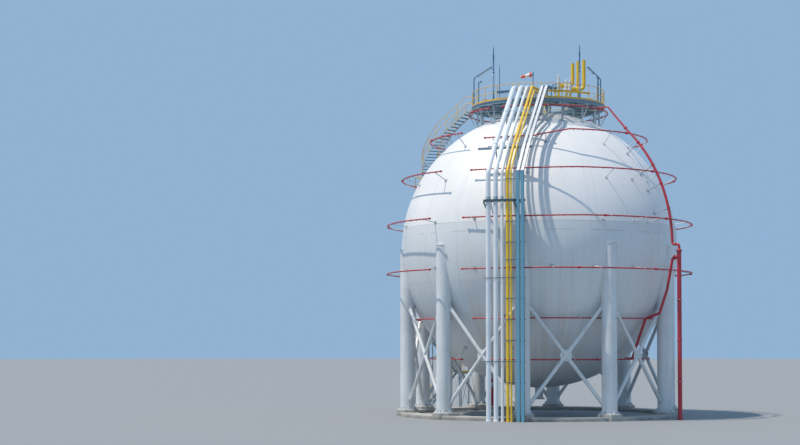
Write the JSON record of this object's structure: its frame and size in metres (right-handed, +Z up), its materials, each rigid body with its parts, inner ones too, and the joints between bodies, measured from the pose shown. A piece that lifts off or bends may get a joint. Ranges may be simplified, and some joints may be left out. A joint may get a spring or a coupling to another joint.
{
  "type": "spherical gas tank",
  "caption": "Spherical pressure tank on braced tubular legs with red spray rings, a railed roof platform, a curved stair, a stair tower and pipes down the front.",
  "frame": {"origin": "centre of the tank at ground level", "axes": "+Z up, front with the pipe bundle faces -Y, +X to the right seen from the front"},
  "size_m": [22.1356, 22.1355, 26.38],
  "materials": {
    "shell_paint": "satin",
    "leg_paint": "satin",
    "concrete": "matte",
    "red_paint": "satin",
    "grating": "matte",
    "blue_grey_steel": "satin",
    "rail_paint": "satin",
    "white_pipe": "satin",
    "yellow_pipe": "satin",
    "ladder_paint": "satin",
    "mast_paint": "satin",
    "windsock_cloth": "matte"
  },
  "bodies": {
    "root": {"shell_bottom_crown": "shell_paint", "shell_lower_belt": "shell_paint", "shell_equator_belt": "shell_paint", "shell_upper_belt": "shell_paint", "shell_top_crown": "shell_paint", "leg_01": "leg_paint", "brace_01": "leg_paint", "leg_02": "leg_paint", "brace_02": "leg_paint", "leg_03": "leg_paint", "brace_03": "leg_paint", "leg_04": "leg_paint", "brace_04": "leg_paint", "leg_05": "leg_paint", "brace_05": "leg_paint", "leg_06": "leg_paint", "brace_06": "leg_paint", "leg_07": "leg_paint", "brace_07": "leg_paint", "leg_08": "leg_paint", "brace_08": "leg_paint", "leg_09": "leg_paint", "brace_09": "leg_paint", "leg_10": "leg_paint", "brace_10": "leg_paint", "foundation_ring": "concrete", "bottom_nozzle": "shell_paint", "spray_upper_right": "red_paint", "spray_upper_left": "red_paint", "spray_lower_right": "red_paint", "spray_lower_left": "red_paint", "platform_deck": "grating", "platform_frame": "blue_grey_steel", "railing_front": "rail_paint", "railing_back": "rail_paint", "stair_upper_flight": "grating", "stair_upper_rail_front": "rail_paint", "stair_upper_rail_back": "rail_paint", "stair_tower_frame": "blue_grey_steel", "stair_tower_storey_3": "grating", "stair_tower_storey_2": "grating", "stair_tower_storey_1": "grating", "pipe_white_left": "white_pipe", "pipe_white_middle": "white_pipe", "pipe_white_right": "white_pipe", "pipe_yellow_wide": "yellow_pipe", "pipe_yellow_narrow": "yellow_pipe", "cable_ladder_left": "ladder_paint", "cable_ladder_right": "ladder_paint", "pipe_bracket_main": "blue_grey_steel", "pipe_support_middle": "blue_grey_steel", "pipe_support_upper": "blue_grey_steel", "relief_manifold": "yellow_pipe", "lightning_mast_left": "mast_paint", "lightning_mast_right": "mast_paint", "lamp_post_left": "mast_paint", "lamp_post_right": "mast_paint", "windsock_pole": "mast_paint", "windsock": "windsock_cloth"}
  },
  "joints": []
}
